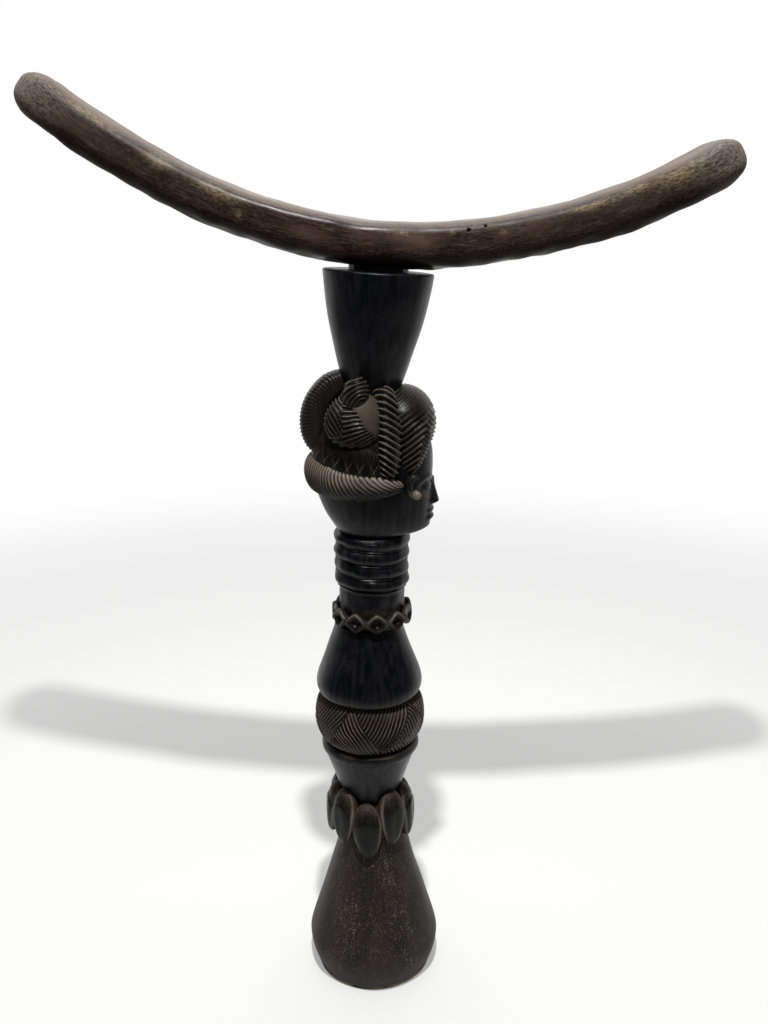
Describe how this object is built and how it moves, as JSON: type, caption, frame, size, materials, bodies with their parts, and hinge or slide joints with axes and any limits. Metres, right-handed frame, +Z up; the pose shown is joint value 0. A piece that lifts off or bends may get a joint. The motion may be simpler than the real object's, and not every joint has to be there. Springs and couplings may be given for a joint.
{
  "type": "carved wooden headrest",
  "caption": "Carved wooden headrest: a curved rest bar pegged on a tall column of turned and carved sections with a braided head, on a bell foot.",
  "frame": {"origin": "middle of the foot's flat sole", "axes": "+Z up the column, +X along the bar and the way the carved head looks, Y across the bar"},
  "size_m": [0.2974, 0.066, 0.429],
  "materials": {
    "worn_brown_wood": "worn smooth by use, dark brown, soft gloss along the upper edge",
    "black_stained_wood": "black stain, smooth, satin",
    "carved_brown_black_wood": "black stain worn to brown on the ridges of the carving",
    "dull_foot_wood": "dull brown black with open pores and scuffs",
    "plain_dowel_wood": "plain unstained wood, out of sight"
  },
  "bodies": {
    "root": {"foot": "dull_foot_wood", "foot_dowel": "plain_dowel_wood", "petal_ring": "carved_brown_black_wood", "waist": "black_stained_wood", "waist_dowel": "plain_dowel_wood", "plaited_belt": "carved_brown_black_wood", "torso": "black_stained_wood", "neck_dowel": "plain_dowel_wood", "lozenge_collar": "carved_brown_black_wood", "ringed_neck": "black_stained_wood", "head_dowel": "plain_dowel_wood", "head": "carved_brown_black_wood", "cup_dowel": "plain_dowel_wood", "flared_cup": "black_stained_wood", "bar_peg": "black_stained_wood", "headrest_bar": "worn_brown_wood"}
  },
  "joints": []
}
